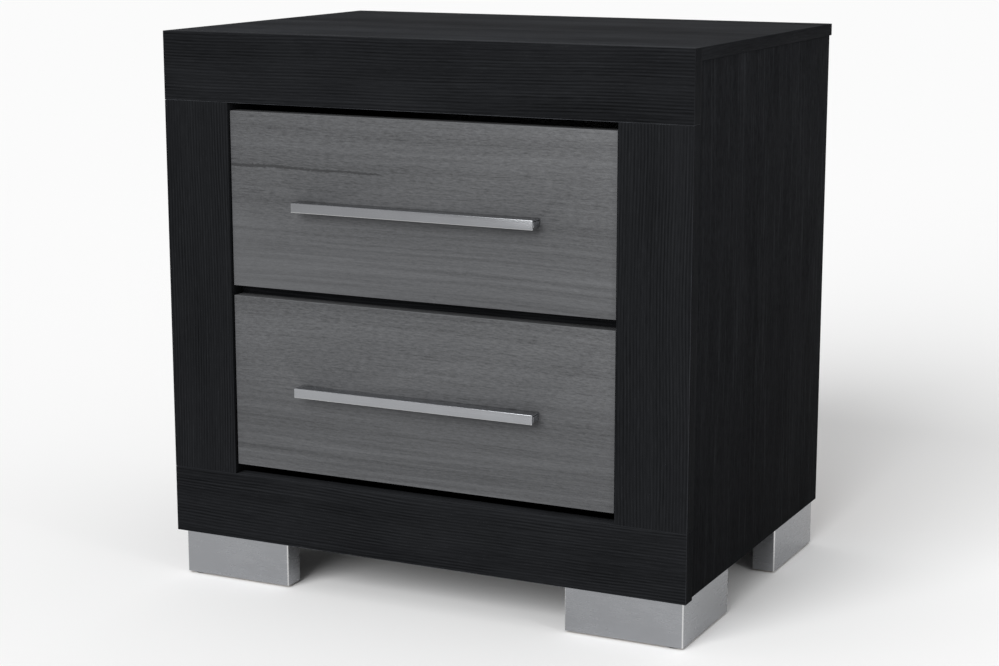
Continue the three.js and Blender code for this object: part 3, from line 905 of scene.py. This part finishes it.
def add_screws(name, places, axis, body, head_radius=3.5 * MM):
    """Countersunk screws whose cross-recessed heads are flush with a board."""
    shank = 0.5 * head_radius
    face = 0.02 * MM
    profile = [(0, -6 * MM), (shank, -5 * MM), (shank, -0.6 * head_radius)]
    profile += [(head_radius, face), (0, face)]
    screws = bmesh.new()
    crosses = bmesh.new()
    for place in places:
        add_lathe(screws, profile, place, axis)
        add_driver_cross(crosses, place, axis, 0.5 * head_radius, 0.35 * head_radius)
    cut(piece_from(screws, name, zinc(), body), crosses)


def add_nails(name, places, axis, body, radius=2.6 * MM):
    """Round nails with low domed heads."""
    shank = 0.35 * radius
    profile = [(0, -3 * MM), (shank, -2.5 * MM), (shank, 0.05 * MM), (radius, 0.05 * MM)]
    profile += [(radius, 0.18 * radius), (0.7 * radius, 0.3 * radius), (0, 0.36 * radius)]
    nails = bmesh.new()
    for place in places:
        add_lathe(nails, profile, place, axis, 16)
    piece_from(nails, name, zinc(), body)


def spread(start, end, count):
    """Evenly spaced numbers from a start to an end."""
    return [start + (end - start) * i / (count - 1) for i in range(count)]


def add_machine_screw(drawer, side, seat):
    """The screw, with a domed head and a cross recess, that holds one end of a handle from inside."""
    node = f"{drawer}_handle_{side}_screw"
    low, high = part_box(node)
    middle = (low + high) / 2
    head = (high.x - low.x) / 2
    shank = 2 * MM
    crown = high.y - seat
    tip = low.y - seat
    profile = [(0, tip), (shank, tip + 1 * MM), (shank, 0), (head, 0), (head, 0.4 * crown)]
    profile += [(0.86 * head, 0.78 * crown), (0.55 * head, crown), (0, crown)]
    place = Vector((middle.x, seat, middle.z))
    axis = (0, 1, 0)
    bm = bmesh.new()
    add_lathe(bm, profile, place, axis, 32)
    name = f"{drawer}_{side}_machine_screw"
    screw = piece_from(bm, name, zinc(), f"{drawer}_drawer", [node])
    cross = bmesh.new()
    add_driver_cross(cross, place + Vector((0, crown, 0)), axis, 0.55 * head, 0.5 * crown)
    cut(screw, cross)


def fit_drawer_fasteners(drawer):
    """Handle screws, the screws that join the front to its box, and those at the corners of the box."""
    body = f"{drawer}_drawer"
    low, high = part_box(f"{drawer}_drawer_box_front")
    for side in ("left", "right"):
        add_machine_screw(drawer, side, high.y + 0.05 * MM)
    columns = (low.x + 36 * MM, high.x - 36 * MM)
    heights = (low.z + 30 * MM, high.z - 26 * MM)
    joining = [(x, high.y, z) for x in columns for z in heights]
    add_screws(f"{drawer}_front_screws", joining, (0, 1, 0), body)
    for side, outward in (("left", -1), ("right", 1)):
        screw_box_side(drawer, side, outward)
    nail_drawer_bottom(drawer)


def screw_box_side(drawer, side, outward):
    """Two screws at each end of a side of the drawer box, seen from outside."""
    low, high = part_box(f"{drawer}_drawer_{side}_side")
    face = low.x if outward < 0 else high.x
    ends = (low.y + 6 * MM, high.y - 6 * MM)
    heights = (low.z + 24 * MM, high.z - 22 * MM)
    places = [(face, y, z) for y in ends for z in heights]
    add_screws(f"{drawer}_{side}_box_screws", places, (outward, 0, 0), f"{drawer}_drawer", 3.4 * MM)


def nail_drawer_bottom(drawer):
    """A row of nails from below through the drawer bottom into the back."""
    low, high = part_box(f"{drawer}_drawer_back")
    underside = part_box(f"{drawer}_drawer_bottom")[0].z
    row = (low.y + high.y) / 2
    places = [(x, row, underside) for x in spread(low.x + NAIL_INSET, high.x - NAIL_INSET, 5)]
    add_nails(f"{drawer}_bottom_nails", places, (0, 0, -1), f"{drawer}_drawer", 2.2 * MM)


def fit_case_fasteners():
    """The nails in the back panel, and the screws that are seen from below."""
    nail_back_panel()
    screw_bottom_panel()
    screw_legs()


def nail_back_panel():
    """Rows of nails along the bottom panel and the rear stretcher."""
    low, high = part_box("back_panel")
    columns = spread(low.x + NAIL_INSET, high.x - NAIL_INSET, 8)
    places = []
    for board in ("bottom_panel", "rear_top_stretcher"):
        board_low, board_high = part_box(board)
        row = (board_low.z + board_high.z) / 2
        places += [(x, high.y, row) for x in columns]
    add_nails("back_panel_nails", places, (0, 1, 0), "case")


def screw_bottom_panel():
    """Screws from below, up into the two inner panels."""
    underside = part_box("bottom_panel")[0].z
    places = []
    for side in ("left", "right"):
        low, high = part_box(f"{side}_inner_panel")
        middle = (low.x + high.x) / 2
        places += [(middle, y, underside) for y in spread(low.y + NAIL_INSET, high.y - NAIL_INSET, 4)]
    add_screws("bottom_panel_screws", places, (0, 0, -1), "case")


def screw_legs():
    """Two screws from below through each leg's core, one in either wing."""
    places = []
    for end, y_sign in (("front", -1), ("rear", 1)):
        for side, x_sign in (("left", -1), ("right", 1)):
            low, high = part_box(f"{end}_{side}_leg_core")
            x = high.x if side == "right" else low.x
            y = high.y if end == "rear" else low.y
            near = 11.5 * MM
            far = 0.78 * (high.x - low.x)
            for inset_x, inset_y in ((far, near), (near, far)):
                places.append((x - x_sign * inset_x, y - y_sign * inset_y, low.z))
    add_screws("leg_screws", places, (0, 0, -1), "case", 4.2 * MM)


# ---- Stage --------------------------------------------------------------------------------------------
WORLD_LIGHT = 0.58
BACKDROP_LEVEL = 0.96  # of the world where the camera sees it
FLOOR_REACH = 300.0  # metres each way, far enough that low views don't see it end
SOFTBOX_TARGET = Vector((0, 0, 0.3))


def add_floor():
    mesh = bpy.data.meshes.new("floor")
    corners = [(x, y, 0) for x, y in rectangle(FLOOR_REACH, FLOOR_REACH)]
    mesh.from_pydata(corners, [], [(0, 1, 2, 3)])
    mesh.materials.append(Shader("floor", Specular_IOR_Level=0.0, Roughness=0.9).finish(gray(0.94)))
    floor = bpy.data.objects.new("floor", mesh)
    bpy.context.scene.collection.objects.link(floor)


def add_sun(azimuth, elevation, softness, strength):
    data = bpy.data.lights.new("studio_key", "SUN")
    data.angle = math.radians(softness)
    data.energy = strength
    add_facing(bpy.data.objects.new("studio_key", data), from_angles(azimuth, elevation))


def add_softbox(azimuth, elevation, distance, size, watts):
    data = bpy.data.lights.new("softbox", "AREA")
    data.shape = "RECTANGLE"
    data.size, data.size_y = size
    data.energy = watts
    light = bpy.data.objects.new("softbox", data)
    towards = from_angles(azimuth, elevation)
    light.location = SOFTBOX_TARGET + towards * distance
    add_facing(light, towards)


def add_world():
    """Even light from all round, behind which the backdrop itself is seen as pale as the floor."""
    world = bpy.data.worlds.new("studio")
    world.use_nodes = True
    nodes, links = world.node_tree.nodes, world.node_tree.links
    strength = nodes.new("ShaderNodeMapRange")
    strength.inputs["To Min"].default_value = WORLD_LIGHT
    strength.inputs["To Max"].default_value = BACKDROP_LEVEL
    links.new(nodes.new("ShaderNodeLightPath").outputs["Is Camera Ray"], strength.inputs["Value"])
    nodes["Background"].inputs["Color"].default_value = gray(1.0)
    links.new(strength.outputs["Result"], nodes["Background"].inputs["Strength"])
    bpy.context.scene.world = world


def add_lights():
    add_world()
    add_sun(azimuth=-8, elevation=26, softness=42, strength=3.2)
    add_softbox(azimuth=64, elevation=12, distance=2.0, size=(0.14, 1.2), watts=4)
    bpy.context.scene.view_settings.view_transform = "Standard"


add_camera()
add_lights()
add_floor()
dress_case()
for end in ("front", "rear"):
    for side in ("left", "right"):
        build_leg(end, side)
for drawer in ("lower", "upper"):
    dress_drawer(drawer)
    fit_drawer_fasteners(drawer)
    for side in ("left", "right"):
        build_slide(drawer, side)
fit_case_fasteners()
